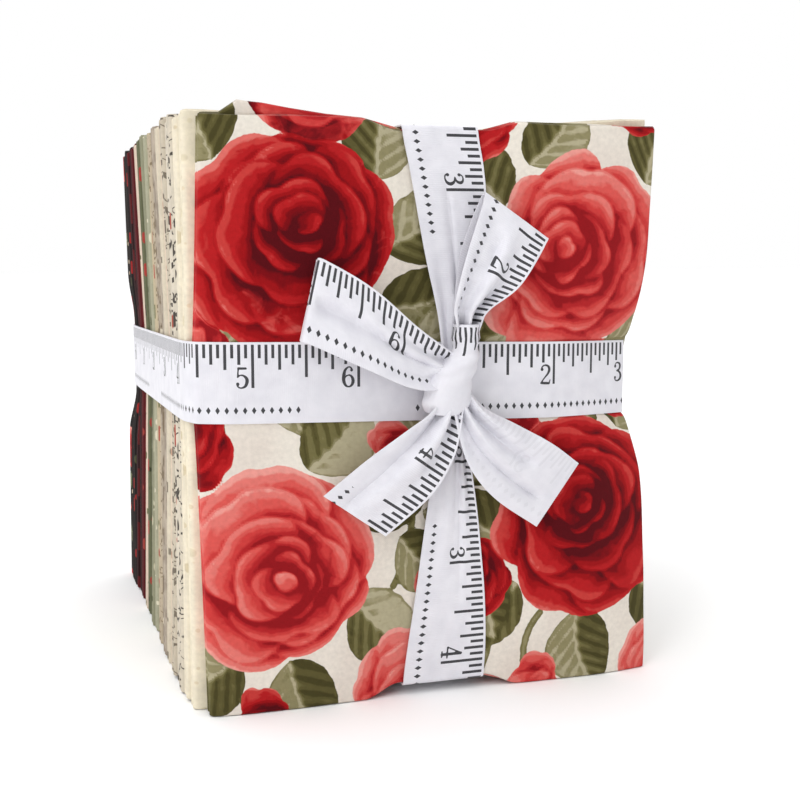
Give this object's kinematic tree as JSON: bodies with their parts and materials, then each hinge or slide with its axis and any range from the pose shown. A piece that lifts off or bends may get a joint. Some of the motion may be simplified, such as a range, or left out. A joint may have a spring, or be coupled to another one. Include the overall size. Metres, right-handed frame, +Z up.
{
  "type": "bundle of folded quilting fabrics tied with tape-measure ribbon",
  "caption": "Bundle of folded quilting fabrics standing on edge, large rose print to the front, tied both ways with white tape-measure ribbon and a bow.",
  "frame": {"origin": "on the surface that the bundle stands on, under the middle of its bounding box", "axes": "+Z up; the front face, with the bow, looks along -Y; the side with the folds looks along -X"},
  "size_m": [0.1204, 0.148, 0.143],
  "materials": {
    "rose_chintz": "plain-woven cotton printed with red and coral roses on cream",
    "cream_prints": "plain-woven cotton, cream with faint small prints",
    "script_prints": "plain-woven cotton, off-white with dark pen scrolls",
    "taupe_prints": "plain-woven cotton, grey-brown with tonal prints",
    "sage_prints": "plain-woven cotton, sage green with leaf prints",
    "red_prints": "plain-woven cotton, red and dark red with small prints",
    "black_prints": "plain-woven cotton, black with red roses",
    "tape_ribbon": "white polyester ribbon printed with black inch marks"
  },
  "bodies": {
    "root": {"fabric_01": "rose_chintz", "fabric_02": "cream_prints", "fabric_03": "cream_prints", "fabric_04": "script_prints", "fabric_05": "script_prints", "fabric_06": "script_prints", "fabric_07": "cream_prints", "fabric_08": "cream_prints", "fabric_09": "taupe_prints", "fabric_10": "taupe_prints", "fabric_11": "taupe_prints", "fabric_12": "taupe_prints", "fabric_13": "sage_prints", "fabric_14": "sage_prints", "fabric_15": "sage_prints", "fabric_16": "sage_prints", "fabric_17": "red_prints", "fabric_18": "red_prints", "fabric_19": "red_prints", "fabric_20": "red_prints", "fabric_21": "red_prints", "fabric_22": "black_prints", "fabric_23": "black_prints", "fabric_24": "black_prints", "ribbon_tie": "tape_ribbon"}
  },
  "joints": []
}
